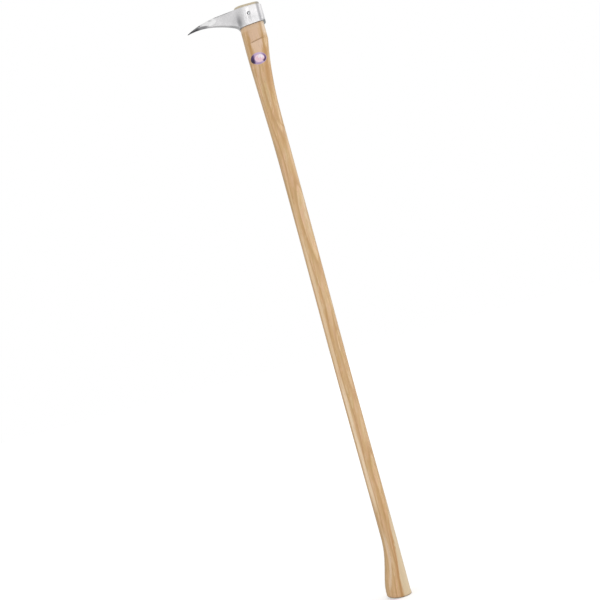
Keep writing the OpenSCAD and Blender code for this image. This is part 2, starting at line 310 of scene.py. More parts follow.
eye_front = eye_setback - eye_len / 2
eye_back = eye_setback + eye_len / 2
nose_x = eye_front + eye_w / 2
butt_front = shaft_w / 2 - butt_w
shoulder_half = eye_w / 2 + shoulder_step
print(f"handle {1000 * handle_top:.0f} mm long, shoulder at {1000 * shoulder_z:.0f} mm")


# %% Curves that shape it
def ease(u):
    """Falls from 1 to 0 as u goes from 0 to 1, level at both ends."""
    v = min(1.0, max(0.0, u))
    return 1 - v * v * (3 - 2 * v)


def fall(u, power):
    """Falls from 1 to 0 as u goes from 0 to 1, steepest at the start."""
    return (1 - min(1.0, max(0.0, u))) ** power


def mix(a, b, share):
    """From a, where share is 0, to b, where share is 1."""
    return a + (b - a) * share


def oval(front, back, half, front_r, back_r, steps=14):
    """Outline of four quarter ellipses, from the back edge round over +Y."""
    points = []
    for q in range(4):
        rx, ry = back_r if q in (0, 3) else front_r
        x = back - rx if q in (0, 3) else front + rx
        y = (1 if q < 2 else -1) * (half - ry)
        for k in range(steps):
            a = math.radians(90 * (q + k / (steps - 1)))
            points.append((x + rx * math.cos(a), y + ry * math.sin(a)))
    return points


def handle_section(z, out=0.0):
    """Outline of the wood below the shoulder at a height z, moved outwards by out."""
    neck = ease((shoulder_z - z) / front_taper)
    back_share = fall((shoulder_z - z) / back_taper, taper_curve)
    square = fall((shoulder_z - z) / back_taper, square_curve)
    butt = ease((z - butt_straight) / (butt_len - butt_straight)) ** butt_curve
    turn = math.cos(math.radians(360 * (z - wander_from) / wander_wave))
    drift = wander * turn * max(0.0, 1 - z / (shoulder_z - back_taper))
    front = drift - shaft_w / 2 + (eye_front - shoulder_lip + shaft_w / 2) * neck
    front += (butt_front + shaft_w / 2) * butt - out
    back = drift + mix(shaft_w / 2, eye_back + shoulder_lip, back_share) + heel * ease(z / heel_h) + out
    half = shaft_t / 2 + (shoulder_half - shaft_t / 2) * neck + (butt_t - shaft_t) / 2 * butt + out
    middle = mix(mix(drift, (butt_front + shaft_w / 2) / 2, butt), nose_x, neck)
    back_r = (
        mix(back - out - middle, eye_back_r, square) + out - side_flat,
        mix(half - out, eye_back_r, square) + out - side_flat,
    )
    return oval(front, back, half, (middle - front - side_flat, half - side_flat), back_r)


def lifted(z, outline):
    """Puts an outline at a height, tilted as the shoulder line is and curved up at the toe of the butt."""
    slant = math.tan(shoulder_slant) * ease((shoulder_z - z) / (back_taper / 2))
    toe = toe_lift * ease(z / (butt_len / 2))
    return [
        (x, y, z + slant * (x - eye_back) + toe * max(0.0, (butt_front + toe_len - x) / toe_len) ** 2)
        for x, y in outline
    ]


# %% [markdown]
# The outlines run from the butt to the shoulder every 4 mm. Both ends of the wood have a broken edge,
# made of a few outlines that shrink round a small curve.

# %% Outlines up to the shoulder
def eye_outline(inset=0.0):
    """Outline of the eye, which the tenon fills, moved inwards by inset."""
    nose_r, back_r = eye_w / 2 - inset, eye_back_r - inset
    return oval(eye_front + inset, eye_back - inset, nose_r, (nose_r, nose_r), (back_r, back_r))


def shrunk(outline, share):
    """An outline drawn in towards the line that runs along its middle."""
    xs = [x for x, y in outline]
    centre = (min(xs) + max(xs)) / 2
    return [(centre + (x - centre) * share, y * share) for x, y in outline]


ROUND = [(1 - math.sin(math.radians(a)), 1 - math.cos(math.radians(a))) for a in (90, 68, 45, 22)]
RING_GAP = 4 * MM

rings = [lifted(0, shrunk(handle_section(0, -butt_edge), s)) for s in (0.03, 0.2, 0.45, 0.7, 0.88, 0.97)]
for rise_share, inset_share in ROUND:
    outline = handle_section(butt_edge, -butt_edge * inset_share)
    rings.append(lifted(butt_edge * rise_share, outline))
count = round((shoulder_z - butt_edge) / RING_GAP)
edge_drop, edge_in = 0.5 * MM, 0.15 * MM
for k in range(count + 1):
    z = mix(butt_edge, shoulder_z - edge_drop, k / count)
    rings.append(lifted(z, handle_section(z)))
for drop_share, inset_share in ROUND[::-1]:
    outline = handle_section(shoulder_z, -edge_in * inset_share)
    rings.append(lifted(shoulder_z - edge_drop * drop_share, outline))
print("outlines up to the shoulder:", len(rings))

# %% [markdown]
# Above the shoulder the tenon has the outline of the eye, a step further in. The saw that cut the
# shoulder went a little too deep, and its kerf shows as a line across each cheek, deep in front and
# shallow behind. We draw it with six outlines, of which the middle two dip inwards. It climbs a little
# more than the shoulder does.

# %% Saw kerf
FIT, HAIR = 0.05 * MM, 0.1 * MM
kerf_above, kerf_w, kerf_deep, kerf_shallow = 1.4 * MM, 1.6 * MM, 1.2 * MM, 0.35
kerf_from, kerf_shallow_from, kerf_to = -8 * MM, 11 * MM, 24 * MM
kerf_start, kerf_fade, kerf_end = 6 * MM, 8 * MM, 4 * MM
climb, climb_from = 0.07, -3 * MM


def kerf_depth(x):
    """How deep the saw went in at x."""
    started = 1 - ease((x - kerf_from) / kerf_start)
    ended = ease((x - kerf_to) / kerf_end)
    return kerf_deep * started * ended * mix(kerf_shallow, 1, ease((x - kerf_shallow_from) / kerf_fade))


rings.append(lifted(shoulder_z + HAIR, eye_outline(2 * FIT)))
for height, open_share in ((-1, 0), (-1 / 2, 0), (-1 / 3, 1), (1 / 3, 1), (1 / 2, 0), (1, 0)):
    rings.append([
        (x, y - math.copysign(open_share * kerf_depth(x), y),
         z + height * kerf_w + climb * max(0.0, x - climb_from))
        for x, y, z in lifted(shoulder_z + kerf_above, eye_outline(FIT))
    ])
print(f"kerf {1000 * kerf_deep:.1f} mm deep")

# %% [markdown]
# The tenon goes on straight up through the eye. Over the steel the driven wedges have spread it, most at
# its front. The top is flat with a broken edge.

# %% Tenon, and the whole handle
TENON_STEPS, SPREAD_STEPS = 12, 5
tenon_low = rings[-1]
proud_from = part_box("head")[1].z + HAIR
tenon_edge, bulge, bulge_front = 0.5 * MM, 0.7 * MM, 1.0 * MM


def spread_outline(share, inset=0.0):
    """Outline of the tenon above the steel, spread by a share of what the wedges did to it."""
    return [(x - share * bulge_front * max(0.0, nose_x - x) / (nose_x - eye_front), y)
            for x, y in eye_outline(FIT + inset - share * bulge)]


tenon_high = [(x, y, proud_from) for x, y in eye_outline(FIT)]
for k in range(1, TENON_STEPS + 1):
    share = k / TENON_STEPS
    rings.append([tuple(mix(a, b, share) for a, b in zip(p, q)) for p, q in zip(tenon_low, tenon_high)])
for k in range(1, SPREAD_STEPS + 1):
    z = mix(proud_from, handle_top - tenon_edge, k / SPREAD_STEPS)
    rings.append([(x, y, z) for x, y in spread_outline(1 - fall(k / SPREAD_STEPS, 3))])
for drop_share, inset_share in ROUND[-2::-1]:
    z = handle_top - tenon_edge * drop_share
    rings.append([(x, y, z) for x, y in spread_outline(1, tenon_edge * inset_share)])
for s in (0.97, 0.85, 0.6, 0.3, 0.03):
    rings.append([(x, y, handle_top) for x, y in shrunk(spread_outline(1, tenon_edge), s)])
handle = mesh_object("ash_handle", *loft(rings))
print("handle outlines:", len(rings), "of", len(rings[0]), "points")

# %% [markdown]
# Pockets and holes are cut with Blender's exact boolean, which takes the shape of one mesh out of
# another. It leaves knife-sharp edges. Real ones are always a little worn, so we bevel them, and then
# they catch the light.

# %% Cut and soften
def cut(made, *cutters):
    """Cuts the cutters' shapes out of a piece, and deletes the cutters."""
    for cutter in cutters:
        way = made.modifiers.new("cut", "BOOLEAN")
        way.operation = "DIFFERENCE"
        way.solver = "EXACT"
        way.object = cutter
    settle(made)
    for cutter in cutters:
        bpy.data.objects.remove(cutter)


def settle(made):
    """Makes the result of a piece's modifiers its own mesh."""
    seen = made.evaluated_get(bpy.context.evaluated_depsgraph_get())
    made.data = bpy.data.meshes.new_from_object(seen)
    made.modifiers.clear()


def soften_edges(made, width, segments=2, angle=50):
    """Rounds the edges of a piece that are sharper than an angle in degrees."""
    bevel = made.modifiers.new("soften", "BEVEL")
    bevel.width = width
    bevel.segments = segments
    bevel.limit_method = "ANGLE"
    bevel.angle_limit = math.radians(angle)
    settle(made)


# %% [markdown]
# The tenon is locked in the eye by a wooden wedge along it and two steel wedges across that one. We make
# each wedge as a tapered bar with softened edges, and cut its pocket with a bar of the same taper.

# %% Wedges
def tapered_bar(name, centre_x, top_size, low_size, deep, grow=0.0, top=0.0):
    """A bar in the tenon, thin end down, whose head is top above the wood. Sizes are (along X, along Y)."""
    return mesh_object(name, *loft([
        [(centre_x + a * (w / 2 + grow), b * (t / 2 + grow), z) for a, b in corners]
        for (w, t), z in ((low_size, handle_top - deep), (top_size, handle_top + top))
    ]))


wood_len = eye_len - 0.5 * MM
wood_top, wood_low, wood_deep = (wood_len, 4 * MM), (wood_len, 1.6 * MM), 36 * MM
steel_top, steel_low, steel_deep, steel_gap = (4 * MM, 22 * MM), (1 * MM, 22 * MM), 14 * MM, 13 * MM
SINK, PLAY = 0.15 * MM, 0.02 * MM
steel_places = {"steel_wedge_front": eye_setback - steel_gap, "steel_wedge_back": eye_setback + steel_gap}


def steel_pockets(grow=0.0):
    """Bars that cut the places of the two steel wedges, larger than them by grow on each side."""
    places = steel_places.values()
    return [tapered_bar("pocket", x, steel_top, steel_low, steel_deep, grow, MM) for x in places]


wooden = tapered_bar("beech_wedge", eye_setback, wood_top, wood_low, wood_deep, top=-SINK)
cut(wooden, *steel_pockets())
soften_edges(wooden, 0.25 * MM)
pockets = [tapered_bar("pocket", eye_setback, wood_top, wood_low, wood_deep, PLAY, MM)]
pockets += steel_pockets(PLAY)
steels = {}
for node, x in steel_places.items():
    steels[node] = tapered_bar(node + "_bar", x, steel_top, steel_low, steel_deep, top=-SINK)
    soften_edges(steels[node], 0.5 * MM, 3)
cut(handle, *pockets)
print("wedges made and their pockets cut")

# %% [markdown]
# The head is forged: a ring with a round front, a neck drawn out of it, and a beak that tapers to a
# ground point. We slice it across its length. Each slice has six corners, and the corners are rounded as
# a smith's grinder leaves them. The widths come from the view from above and the heights from the side.
# The hollow of the neck comes in sooner at the lower corners than at the upper ones.

# %% Sizes of the head
head_low, head_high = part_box("head")
tip_x, ring_back, ring_half, ring_top = head_low.x, head_high.x, head_high.y, head_high.z
wall = ring_half - eye_w / 2
ring_back_r = eye_back_r + wall
ring_h, rim_slope, rim_dip, edge_r = 36.8 * MM, math.radians(4.3), 0.4 * MM, 1.2 * MM
tip_drop, root_h, back_curve = 20.6 * MM, 36.8 * MM, 3.0
beak_w, beak_curve, under_rise, under_hook = 15.2 * MM, 1.8, 17.6 * MM, 9.7 * MM
fillet_len, point_len, tip_size, neck_end_slope = 9 * MM, 65 * MM, 1.3 * MM, 0.05
beak_len = eye_front - tip_x
upper_neck = (nose_x - 0.25 * ring_half, eye_front - 40 * MM)
lower_neck = (nose_x - 0.6 * ring_half, eye_front - 12 * MM)
UNDER_W, POINT_TOP_W, POINT_UNDER_W = 0.6, 0.45, 0.35
SIDE_UP, POINT_SIDE_UP = 0.05, 0.5
print(f"ring wall {1000 * wall:.1f} mm, beak {1000 * beak_len:.0f} mm")


# %% Curves of the head
def along(x):
    """Share of the way from the front of the eye to the tip."""
    return min(1.0, max(0.0, (eye_front - x) / beak_len))


def cubic(a, b, c, d, u):
    """Point at u on the curve from a to d with the control values b and c."""
    v = 1 - u
    return v ** 3 * a + 3 * v * v * u * b + 3 * v * u * u * c + u ** 3 * d


def ring_width(x):
    """Half width of the ring, seen from above."""
    corner = x - (ring_back - ring_back_r)
    if corner > 0:
        return ring_half - ring_back_r + math.sqrt(max(0.0, ring_back_r ** 2 - corner ** 2))
    return math.sqrt(max(0.0, ring_half ** 2 - min(0.0, x - nose_x) ** 2))


def beak_width(x):
    """Half width of the beak, seen from above."""
    return mix(beak_w, tip_size, along(x) ** beak_curve) / 2


def neck_width(x, start, end):
    """Half width where the ring runs out into the beak, between start and end."""
    if x >= start:
        return ring_width(x)
    if x <= end:
        return beak_width(x)
    y0, y1, lead = ring_width(start), beak_width(end), (start - end) / 3
    b, c = y0 - lead * (nose_x - start) / y0, y1 + lead * neck_end_slope
    return cubic(y0, b, c, y1, (start - x) / (start - end))


def upper_z(x):
    """Height of the head's back."""
    return ring_top - tip_drop * along(x) ** back_curve


def rim_z(x):
    """Height of the ring's lower rim."""
    dip = rim_dip * ease((x - eye_front) / ring_half)
    return ring_top - ring_h - math.tan(rim_slope) * (ring_back - x) - dip


def lower_z(x):
    """Height of the rim, and past it of the beak's underside."""
    if x > eye_front:
        return rim_z(x)
    end = tip_drop + tip_size
    under = ring_top - cubic(root_h, root_h - under_rise, end - under_hook, end, along(x))
    return under - (ring_top - root_h - rim_z(eye_front)) * fall((eye_front - x) / fillet_len, 3)


# %% Build the head
def rounded(corners_of, reach, steps=4):
    """An outline with each corner replaced by a short curve."""
    points = []
    n = len(corners_of)
    for i, p in enumerate(corners_of):
        ends = []
        for q in (corners_of[i - 1], corners_of[(i + 1) % n]):
            share = min(0.4, reach / max(1e-5, math.dist(p, q)))
            ends.append([mix(p[k], q[k], share) for k in range(2)])
        for k in range(steps + 1):
            u = k / steps
            points.append([(1 - u) ** 2 * a + 2 * u * (1 - u) * c + u * u * b
                           for a, c, b in zip(ends[0], p, ends[1])])
    return points


def head_slice(x):
    """Outline across the head at x."""
    top, low = upper_z(x), lower_z(x)
    ground = min(1.0, max(0.0, (tip_x + point_len - x) / (point_len / 2)))
    bevel = 0.0 if x > nose_x else 1 - ease((nose_x - x) / ring_half)
    upper = neck_width(x, *upper_neck) * mix(1, POINT_TOP_W, ground)
    lower = neck_width(x, *lower_neck)
    edge = lower * mix(mix(1, UNDER_W, bevel), POINT_UNDER_W, ground)
    side_z = mix(low, top, mix(SIDE_UP, POINT_SIDE_UP, ground))
    outline = [(upper, top), (lower, side_z), (edge, low), (-edge, low), (-lower, side_z), (-upper, top)]
    return [(x, y, z) for y, z in rounded(outline, edge_r)]


slices = [ring_back - 0.01 * MM]
slices += [ring_back - ring_back_r * (1 - math.cos(math.radians(4 * k))) for k in range(1, 23)]
stretches = [ring_back - ring_back_r, nose_x, eye_front - MM, eye_front - fillet_len, tip_x]
steps_in = (8, 36, 20, 70)
for start, end, count in zip(stretches, stretches[1:], steps_in):
    slices += [mix(start, end, k / count) for k in range(1, count + 1)]
head = mesh_object("forged_head", *loft([head_slice(x) for x in slices]))

EYE_CUT = (1.2, 1.4)
eye_hole = mesh_object("eye_hole", *loft([[(x, y, z) for x, y in eye_outline()] for z in EYE_CUT]))
print("head slices:", len(slices))

# %% [markdown]
# A screw goes through the near cheek into the tenon, so the head can't creep off. Its head sits in a sunk
# hole. We turn the profile of the screw round its axis and cut the slot.

# %% Screw
TURNS, DOME_STEPS = 48, 10
screw_head_d, screw_head_h = 6.8 * MM, 1.3 * MM
screw_d, screw_len, screw_tip = 3.8 * MM, 16 * MM, 0.2 * MM
head_sink = screw_head_h + 0.2 * MM
slot_w, slot_turn = 1.1 * MM, math.radians(35)
screw_z = ring_top - 15.6 * MM
into_cheek = Matrix.Rotation(math.radians(-90), 4, "X")
at_screw = Matrix.Translation((eye_setback, -ring_half, screw_z)) @ into_cheek


def turned(name, profile):
    """A solid turned from a profile of (radius, depth) round the screw's axis. It starts and ends on it."""
    points, faces = [], []
    for k in range(TURNS):
        a = 2 * math.pi * k / TURNS
        points += [at_screw @ Vector((r * math.cos(a), r * math.sin(a), d)) for r, d in profile]
    n = len(profile)
    for k in range(TURNS):
        a, b = k * n, (k + 1) % TURNS * n
        faces += [(a + i, a + i + 1, b + i + 1, b + i) for i in range(n - 1)]
    return mesh_object(name, points, faces)


dome_h = screw_head_h * 0.7
dome_r = (screw_head_d ** 2 / 4 + dome_h ** 2) / (2 * dome_h)
dome_angle = math.asin(screw_head_d / 2 / dome_r)
screw_end = head_sink + screw_len
point = [(screw_d / 2, screw_end - screw_d), (screw_tip, screw_end), (0, screw_end)]
profile = []
for k in range(DOME_STEPS + 1):
    a = dome_angle * k / DOME_STEPS
    profile.append((dome_r * math.sin(a), head_sink - screw_head_h + dome_r * (1 - math.cos(a))))
profile += [(screw_head_d / 2, head_sink), (screw_d / 2, head_sink)]
screw = turned("slotted_screw", profile + point)
turned_slot = at_screw @ Matrix.Rotation(slot_turn, 4, "Z")
cut(screw, mesh_object("slot_bar", *loft([
    [turned_slot @ Vector((a * screw_head_d, b * slot_w / 2, depth)) for a, b in corners]
    for depth in (-MM, head_sink - screw_head_h / 2)
])))
soften_edges(screw, 0.12 * MM)
print(f"screw {1000 * screw_len:.0f} mm long, dome radius {1000 * dome_r:.1f} mm")

# %% [markdown]
# The hole in the cheek is a wide pocket for the screw's head and a narrower bore for its shank. One plug
# cuts both, together with the eye. In the wood the screw has cut its own hole, so a plug with the same
# point makes that one.

# %% Eye and screw holes
play, outside, bore_end = 0.4 * MM, -5 * MM, 8 * MM
pocket_r, bore_r = screw_head_d / 2 + play, screw_d / 2 + play
sunk_hole = turned("sunk_hole", [
    (0, outside), (pocket_r, outside), (pocket_r, head_sink),
    (bore_r, head_sink), (bore_r, bore_end), (0, bore_end),
])
cut(head, eye_hole, sunk_hole)
soften_edges(head, 0.45 * MM)
cut(handle, turned("thread_hole", [(0, 0), (screw_d / 2, 0), *point]))
print("faces of the head after its cuts:", len(head.data.polygons))

# %% [markdown]
# The label is a thin oval film on the near side of the wood, so it has to follow the wood's curve. For
# each point of the oval we ask where the handle's surface is, and lay the film on it. The rings run from
# the middle of its underside out to the edge, and back over its face.

# %% Label
label_w, label_h, label_t = 34.4 * MM, 24.9 * MM, 0.25 * MM
label_x, label_z = 0.4 * MM, handle_top - 118.5 * MM


def near_surface(x, z):
    """Y of the wood's near side at x and z, between two points of the outline there."""
    slant = math.tan(shoulder_slant) * ease((shoulder_z - z) / (back_taper / 2))
    outline = handle_section(z - slant * (x - eye_back))
    near = sorted(p for p in outline if p[1] < 0)
    for (x0, y0), (x1, y1) in zip(near, near[1:]):
        if x0 <= x <= x1 and x1 > x0:
            return mix(y0, y1, (x - x0) / (x1 - x0))
    return near[0][1]


LABEL_STEPS = 96
GLUE = 0.02 * MM
under = [(share, 0.0) for share in (0.02, 0.25, 0.5, 0.75, 0.93, 1.0)]
edge = [(1.0, 0.6), (0.997, 0.9)]
over = [(share, 1.0) for share in (0.99, 0.93, 0.8, 0.6, 0.4, 0.2, 0.02)]
film_rings = []
for share, lift_share in under + edge + over:
    ring = []
    for k in range(LABEL_STEPS):
        a = 2 * math.pi * k / LABEL_STEPS
        x = label_x + share * label_w / 2 * math.cos(a)
        z = label_z + share * label_h / 2 * math.sin(a)
        ring.append((x, near_surface(x, z) - GLUE - label_t * lift_share, z))
    film_rings.append(ring)
label = mesh_object("oval_label", *loft(film_rings))
print("label on the wood at y =", round(1000 * near_surface(label_x, label_z), 2), "mm")

# %% [markdown]
# Ash is a pale, ring-porous wood. Each year leaves a band that starts pale and open, gets denser and more
# honey-coloured, and ends in a crisp line. The tree was slow to grow straight, so the bands wander from
# side to side along the handle. On this blank a honey-coloured band of dense wood runs up the middle, and
# paler wood lies on both sides of it; the pale side towards the back is partly a painted highlight. We draw
# the band's centre line from a few points, measure each point's distance from it, and let that pick the
# colour. The rest is laid over it in thin layers.
# These helpers draw lines, shares and layers. A socket knows its own graph (its id_data), so they put
# their nodes in the graph of the value that they are given.

# %% Draw on a surface
DRAWN_HALF = 40 * MM


def split(vector, axes):
    """The parts of a vector along the named axes."""
    return [add(vector.id_data, "SeparateXYZ", {0: vector}, out=axis) for axis in axes]


def drawn(height, points):
    """How far across the handle a drawn line is, at a height. The points are (height, across) in mm."""
    share = add(height.id_data, "Math", {0: height, 1: handle_top}, operation="DIVIDE")
    stops = [(z * MM / handle_top, 0.5 + x * MM / (2 * DRAWN_HALF)) for z, x in points]
    line = add(height.id_data, "FloatCurve", {"Value": share}, stops=stops)
    return spread(line, -DRAWN_HALF, DRAWN_HALF, 0, 1)


def beside(value, line):
    """How far a value lies beyond a line."""
    return add(value.id_data, "Math", {0: value, 1: line}, operation="SUBTRACT")


def away(value, line):
    """How far a value lies from a line, on either side."""
    return add(value.id_data, "Math", {0: beside(value, line)}, operation="ABSOLUTE")


def rise(value, start, end, most=1.0):
    """Goes smoothly from 0, where value is start, to most, where it is end."""
    links = {"Value": value, "From Min": start, "From Max": end, "To Max": most}
    return add(value.id_data, "MapRange", links, interpolation_type="SMOOTHSTEP")


def spread(value, low, high, start=0.3, end=0.7):
    """Goes evenly from low, where value is start, to high, where it is end. Most noise is 0.3 to 0.7."""
    links = {"Value": value, "From Min": start, "From Max": end, "To Min": low, "To Max": high}
    return add(value.id_data, "MapRange", links)


def times(first, *others):
    """The product of several shares."""
    for other in others:
        first = add(first.id_data, "Math", {0: first, 1: other}, operation="MULTIPLY")
    return first


def cover(under, share, over):
    """Lays a share of a colour, or of what another node gives, over the colour under it."""
    over = linear(over) if isinstance(over, str) else over
    return add(share.id_data, "Mix", {0: share, 6: under, 7: over}, out=2, data_type="RGBA")


def grain(where, across, along_z, detail, seed):
    """Noise drawn out along the wood. The sizes are those of its patches."""
    links = {0: where, 1: (1 / across, 1 / across, 1 / along_z)}
    scaled = add(where.id_data, "VectorMath", links, operation="MULTIPLY")
    links = {"Vector": scaled, "W": seed, "Scale": 1.0, "Detail": detail, "Roughness": 0.6}
    return add(where.id_data, "TexNoise", links, noise_dimensions="4D")


# %% [markdown]
# The wood's sizes: years are 2 to 3 mm wide in real ash. From this far only groups of them show, so one
# band here stands for two. The pores are really 0.3 mm wide and are drawn twice as wide for the same
# reason. The streaks lean a little against the handle, because the blank was sawn a little across the
# grain. Heights are in metres from the end of the butt.

# %% Ash, shaved and sanded
YEARS, FIBRE, PORE = 5.6 * MM, 1.3 * MM, 0.6 * MM
STREAK, BLUSH, SWAY_PATCH = (3.6 * MM, 90 * MM), (6 * MM, 38 * MM), (9 * MM, 65 * MM)
SWAY = 5 * MM
LEAN = 0.11
HONEY_LINE = [
    (0, -9), (45, -7), (75, 0), (115, 4), (170, 5), (230, 1), (300, 1), (450, -2), (630, -5), (760, -1),
    (830, -9), (865, -6), (900, -1), (950, 4), (985, 4), (1035, -3), (1070, 0), (1100, 9), (1160, 11),
    (1220, 16), (1300, 14),
]
HONEY_HALF = 20 * MM

ash, tree, place = new_material("ash_shaved_and_sanded")
x, y, z = split(place, "XYZ")
flank, rim_up = split(add(tree, "NewGeometry", out="Normal"), "XZ")

x_swayed = beside(x, spread(grain(place, *SWAY_PATCH, 3.0, 4.4), SWAY, -SWAY))
off = spread(beside(x_swayed, drawn(z, HONEY_LINE)), 0, 1, -HONEY_HALF, HONEY_HALF)
# The ramp's pale end, towards the back edge, is paler wood and partly a painted highlight.
tone = add(tree, "ValToRGB", {0: off}, stops=[
    (0.0, "#CFAC80"), (0.3, "#D5B081"), (0.42, "#D5AF7F"), (0.5, "#CEA673"), (0.6, "#D6B180"),
    (0.72, "#DCBA8E"), (0.84, "#D9B88D"), (1.0, "#DFC6A2"),
])

leaning = add(tree, "Math", {0: z, 1: -LEAN, 2: x_swayed}, operation="MULTIPLY_ADD")
slanted = add(tree, "CombineXYZ", {"X": leaning, "Y": y, "Z": z})
streak = grain(slanted, *STREAK, 3.0, 3.1)
tone = cover(tone, rise(streak, 0.5, 0.34, 0.36), "#BC925B")
tone = cover(tone, rise(streak, 0.5, 0.66, 0.5), "#E6CDA9")
blush = grain(slanted, *BLUSH, 2.0, 8.7)
tone = cover(tone, rise(blush, 0.5, 0.66, 0.65), "#E0B692")
tone = cover(tone, rise(blush, 0.48, 0.33, 0.55), "#CBAD74")
print("nodes that paint the plain wood:", len(tree.nodes))

# %% [markdown]
# Two narrow streaks of denser, darker wood run beside the honey-coloured band. The right one follows it
# along most of the handle, and leaves the near side where its line lies past the edge. The left one only
# comes round from the front below the head.

# %% Dense streaks
DENSE_RIGHT = [
    (0, 30), (150, 20), (230, 13.5), (350, 17), (440, 17), (530, 11), (630, 11), (720, 17), (850, 17),
    (890, 27), (1015, 27), (1050, 6), (1090, 8), (1150, 13), (1200, 17), (1300, 20),
]
DENSE_LEFT = [(0, -40), (1150, -26), (1180, -15), (1205, -11), (1230, -8), (1300, -7)]

below_head = rise(z, 1.246, 1.232)
for line, share in ((DENSE_RIGHT, 0.6), (DENSE_LEFT, 0.65)):
    streaked = rise(away(x_swayed, drawn(z, line)), 5 * MM, 1.5 * MM, share)
    tone = cover(tone, times(streaked, below_head), "#BD935C")
print("right streak at the label:", DENSE_RIGHT[-3][1], "mm from the middle")

# %% [markdown]
# The year lines lie in sheets round the heart of the tree. It was off to one side and a little askew to
# the handle, so where the flare and the neck cut through the sheets, they draw long tongues. Each year
# darkens slowly, ends in a crisp line and starts again.

# %% Years of growth
HEART = (-62 * MM, 74 * MM)
ASKEW = (0.006, -0.022, 0)
BEND = 26 * MM

bend = add(tree, "VectorMath", {0: place, 1: (1.5, 1.5, 4.2)}, operation="MULTIPLY")
bend = add(tree, "TexNoise", {"Vector": bend, "Scale": 1.0, "Detail": 1.0}, out="Color")
bend = add(tree, "VectorMath", {0: bend, 1: (0.5, 0.5, 0.5)}, operation="SUBTRACT")
bend = add(tree, "VectorMath", {0: bend, "Scale": BEND}, operation="SCALE")
bent = add(tree, "VectorMath", {0: place, 1: bend}, operation="ADD")
links = {"Vector": bent, "Location": (-HEART[0], -HEART[1], 0), "Rotation": ASKEW}
level = add(tree, "Mapping", links)
level = add(tree, "VectorMath", {0: level, 1: (1, 1, 0)}, operation="MULTIPLY")
radius = add(tree, "VectorMath", {0: level}, out="Value", operation="LENGTH")
years = add(tree, "Math", {0: radius, 1: YEARS}, operation="DIVIDE")
season = add(tree, "Math", {0: years}, operation="FRACT")
tone = cover(tone, rise(season, 0.0, 0.3, 0.14), "#B08648")
tone = cover(tone, times(rise(season, 0.45, 0.9), rise(season, 1.0, 0.92, 0.5)), "#B0824A")
print(f"the heart was {1000 * math.hypot(*HEART):.0f} mm away from the handle")

# %% [markdown]
# Light and shade are painted here to show the form. Down the front flank a painted highlight leaves a pale
# line, palest on the lower half. The very front edge is painted darker, and so is the wood that faces
# straight forward, as painted shade, most of all at the butt and high on the shaft. A tongue of dense wood
# lies below the label, and a painted highlight, a pale line, follows the crest of the flare.

# %% Flanks and crest
CREST = [(0, -30), (35, -21.5), (72, -12), (100, -8), (160, -8), (1300, -8)]

# Painted highlight: a pale line on the front flank, where the surface faces the left strip lamp.
painted_flank_highlight = times(
    rise(flank, -0.84, -0.62), rise(flank, -0.25, -0.5), rise(z, 0.98, 0.7), rise(z, 0.17, 0.23)
)
tone = cover(tone, times(painted_flank_highlight, rise(streak, 0.3, 0.5, 0.85)), "#E5C8A2")
tone = cover(tone, times(painted_flank_highlight, rise(z, 0.52, 0.42, 0.45)), "#F4DFC4")
# Painted shade: a darker line along the very front edge.
painted_front_edge_shade = times(rise(flank, -0.7, -0.97, 0.45), rise(rim_up, 0.6, 0.3), rise(z, 1.25, 1.235))
tone = cover(tone, painted_front_edge_shade, "#A88A5E")
# Painted shade on the wood that faces straight forward, at the butt and high on the shaft.
for low, high in ((-0.1, 0.24), (0.8, 1.03)):
    painted_front_shade = times(rise(flank, -0.5, -0.85, 0.38), rise(z, low, low + 0.05), rise(z, high, high - 0.05))
    tone = cover(tone, painted_front_shade, "#A5814F")
tongue = times(rise(x, 0, 6 * MM, 0.5), rise(z, 1.105, 1.135), rise(z, 1.175, 1.16))
tone = cover(tone, tongue, "#BC8C58")
# Painted highlight: a pale line along the crest of the butt's flare.
crest = rise(away(x, drawn(z, CREST)), 4.5 * MM, 1 * MM, 0.6)
tone = cover(tone, times(crest, rise(z, 0.015, 0.035), rise(z, 0.16, 0.12)), "#E3CAAE")
print("nodes so far:", len(tree.nodes))

# %% [markdown]
# The side of the neck was planed flat for the head, which shows pinker wood in the shape of a pencil
# point. It is palest below the saw's kerf. A thin line of painted shade sits in the kerf. Behind it and
# close under the steel the wood is painted paler, as painted light that lifts the shade under the ring.

# %% Planed flat and kerf
KERF_X, KERF_Z = (-3 * MM, 20 * MM), (1.218, 1.2232)
FLAT_LINE = [(0, -8), (1120, -9), (1155, -8), (1205, 3.6), (1300, 5)]

half_flat = spread(z, -4 * MM, 12 * MM, 1.125, 1.235)
past_flat = beside(away(x_swayed, drawn(z, FLAT_LINE)), half_flat)
on_flat = times(rise(past_flat, 4 * MM, -3 * MM, 0.85), rise(z, 1.11, 1.15))
tone = cover(tone, on_flat, "#D5B18B")
tone = cover(tone, times(on_flat, rise(blush, 0.4, 0.62, 0.7)), "#DDBBA0")
tone = cover(tone, times(on_flat, rise(z, 1.221, 1.2185), rise(z, 1.16, 1.2, 0.8)), "#E2C2A6")
# Painted shade in the saw's kerf.
painted_kerf_shade = rise(away(z, spread(x, *KERF_Z, *KERF_X)), 1.8 * MM, 0.4 * MM, 0.6)
tone = cover(tone, times(painted_kerf_shade, rise(x, -8 * MM, -2 * MM), rise(x, 24 * MM, 12 * MM)), "#96703F")
# Painted light on the back of the tenon, above the kerf.
tone = cover(tone, times(rise(x, 21 * MM, 28 * MM), rise(z, 1.222, 1.236, 0.8)), "#E7D3BA")
# Painted light in a band close under the steel.
tone = cover(tone, times(rise(z, 1.2425, 1.2465, 0.5), rise(x, 23 * MM, 14 * MM)), "#DEC0A0")
# The line of painted shade in the kerf climbs this much from front to back.
print(f"the kerf's dirt climbs {1000 * (KERF_Z[1] - KERF_Z[0]):.1f} mm")

